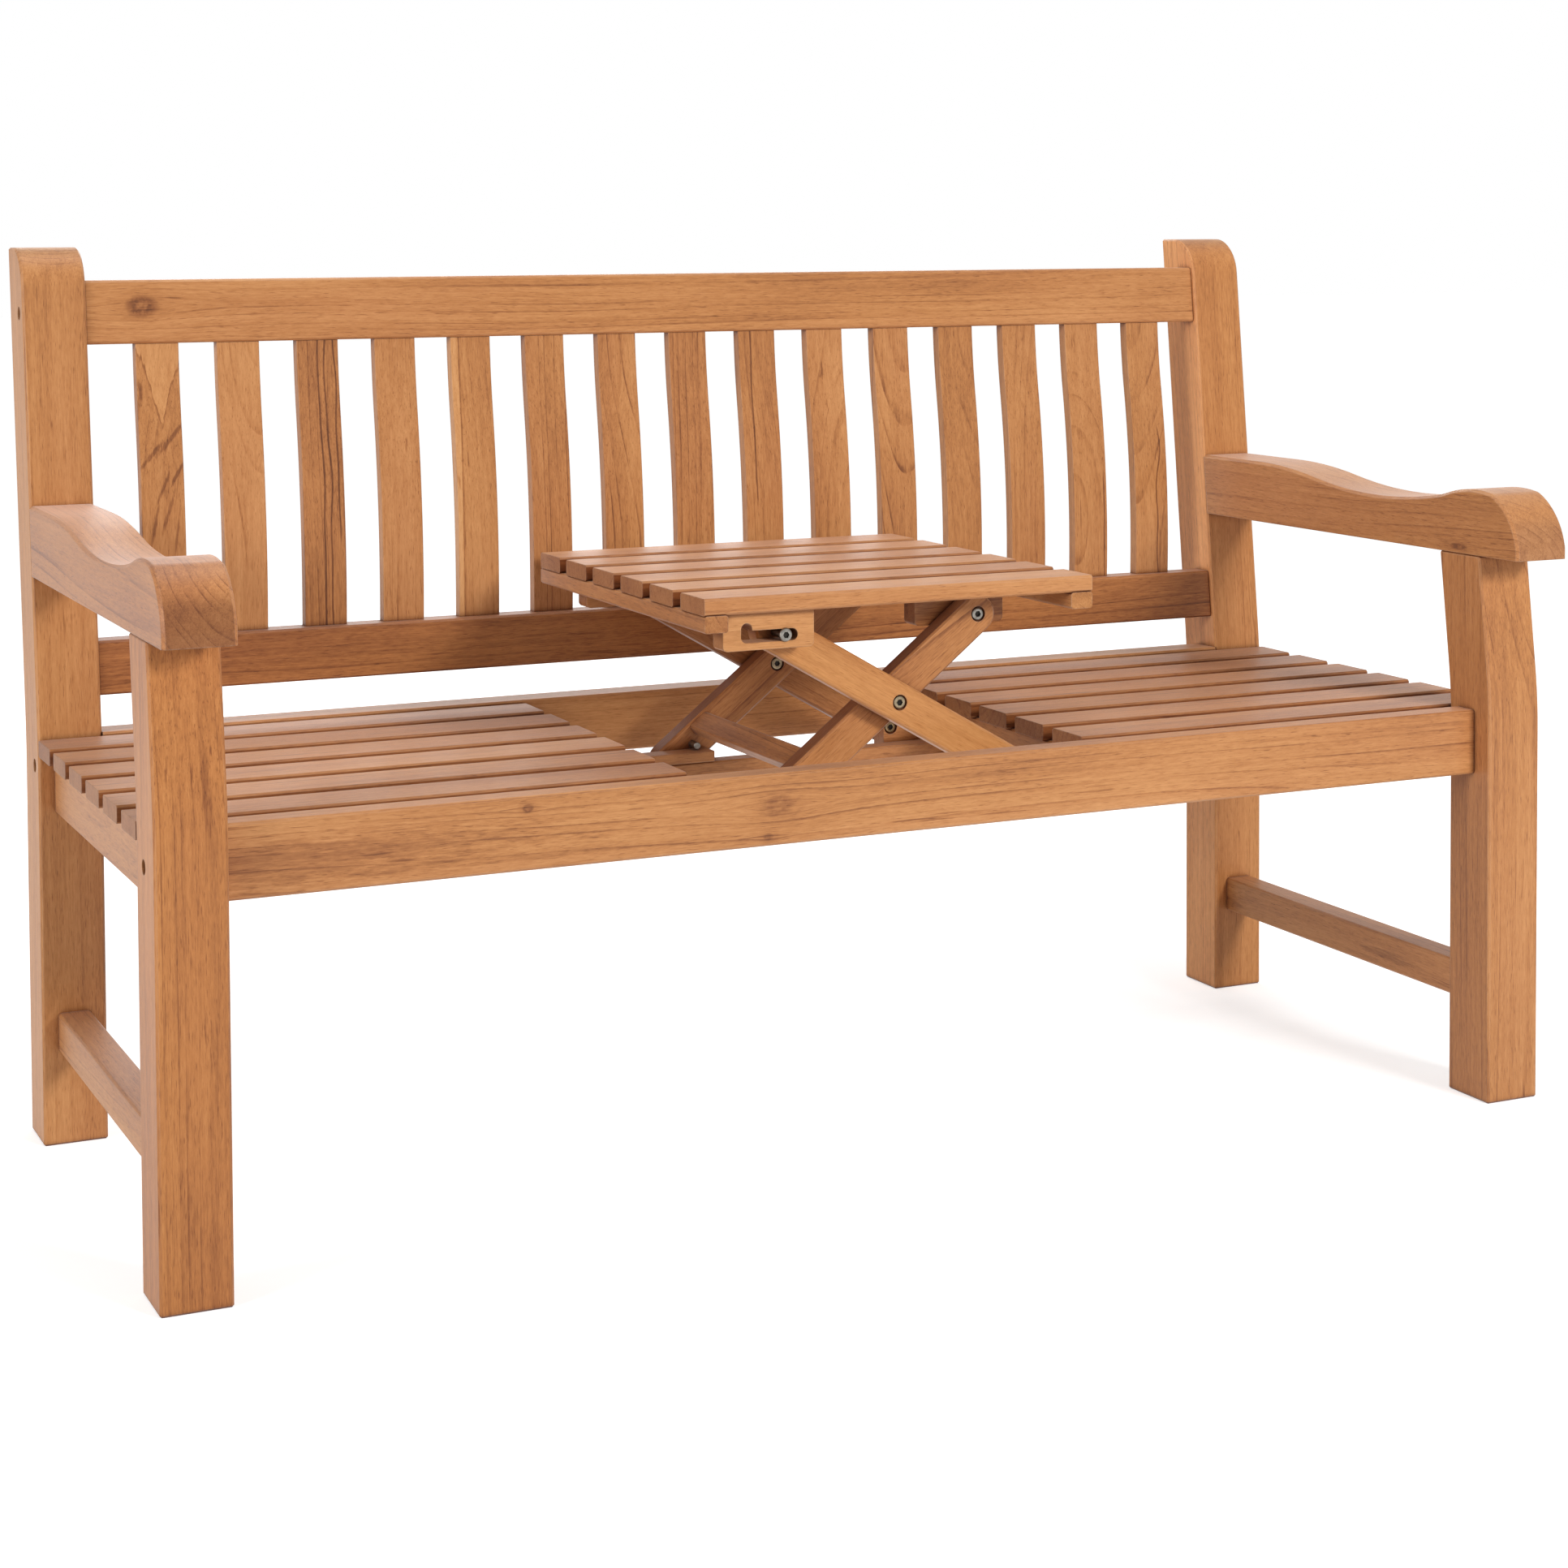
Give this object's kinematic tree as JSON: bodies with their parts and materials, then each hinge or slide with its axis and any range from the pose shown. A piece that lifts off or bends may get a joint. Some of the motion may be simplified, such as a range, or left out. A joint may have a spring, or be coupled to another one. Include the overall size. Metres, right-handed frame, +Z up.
{
  "type": "companion seat bench",
  "caption": "Slatted wooden garden bench for two with a centre table on a folding scissor frame that lowers flush with the seats.",
  "frame": {"origin": "on the floor, below the middle of the bench's bounding box", "axes": "+X along the bench to the sitter's left (the viewer's right), +Y to the back, +Z up"},
  "size_m": [1.5, 0.6972, 0.93],
  "materials": {
    "teak": "oiled, satin",
    "steel": "satin"
  },
  "bodies": {
    "bench": {"front_leg_left": "teak", "front_leg_right": "teak", "back_leg_left": "teak", "back_leg_right": "teak", "armrest_left": "teak", "armrest_right": "teak", "side_rail_left": "teak", "side_rail_right": "teak", "stretcher_left": "teak", "stretcher_right": "teak", "front_rail": "teak", "rear_rail": "teak", "top_back_rail": "teak", "lower_back_rail": "teak", "back_slat_01": "teak", "back_slat_02": "teak", "back_slat_03": "teak", "back_slat_04": "teak", "back_slat_05": "teak", "back_slat_06": "teak", "back_slat_07": "teak", "back_slat_08": "teak", "back_slat_09": "teak", "back_slat_10": "teak", "back_slat_11": "teak", "back_slat_12": "teak", "back_slat_13": "teak", "back_slat_14": "teak", "back_slat_15": "teak", "seat_bearer_left": "teak", "seat_bearer_right": "teak", "left_seat_slats": "teak", "right_seat_slats": "teak", "base_rail_front": "teak", "base_rail_rear": "teak", "base_pivot_blocks": "teak", "base_runner_blocks": "teak", "base_pivot_bolts": "steel", "frame_bolts": "steel"},
    "outer_arms": {"outer_arm_front": "teak", "outer_arm_rear": "teak", "crossing_bolts": "steel", "upper_slide_bolts": "steel"},
    "inner_arms": {"inner_arm_front": "teak", "inner_arm_rear": "teak", "cross_bar": "teak", "lower_slide_bolts": "steel"},
    "pivot_bolts": {"table_pivot_bolts": "steel"},
    "table": {"table_slat_1": "teak", "table_slat_2": "teak", "table_slat_3": "teak", "table_slat_4": "teak", "table_slat_5": "teak", "table_slat_6": "teak", "table_batten_left": "teak", "table_batten_right": "teak", "table_slide_blocks": "teak", "table_pivot_blocks": "teak"}
  },
  "joints": [
    {"name": "table_lift", "type": "hinge", "parent": "bench", "child": "outer_arms", "pos_m": [0.1699, -0.18475, 0.3863], "axis": [0, -1, 0], "range_deg": [0, 30.81]},
    {"name": "arms_crossing", "type": "hinge", "parent": "outer_arms", "child": "inner_arms", "pos_m": [0.03076, -0.18475, 0.4673], "axis": [0, -1, 0], "range_deg": [-70.2, 0]},
    {"name": "table_pivot", "type": "hinge", "parent": "inner_arms", "child": "pivot_bolts", "pos_m": [0.13372, -0.18475, 0.5483], "axis": [0, -1, 0], "range_deg": [0, 39.39]},
    {"name": "table_shift", "type": "slide", "parent": "pivot_bolts", "child": "table", "axis": [1, 0, 0], "range_m": [-0.02505, 0]}
  ],
  "couplings": [
    {"joint": "arms_crossing", "follows": "table_lift", "ratio": -2.2723},
    {"joint": "table_pivot", "follows": "table_lift", "ratio": 1.2723},
    {"joint": "table_shift", "follows": "table_lift", "m_per_rad": -0.046498}
  ]
}
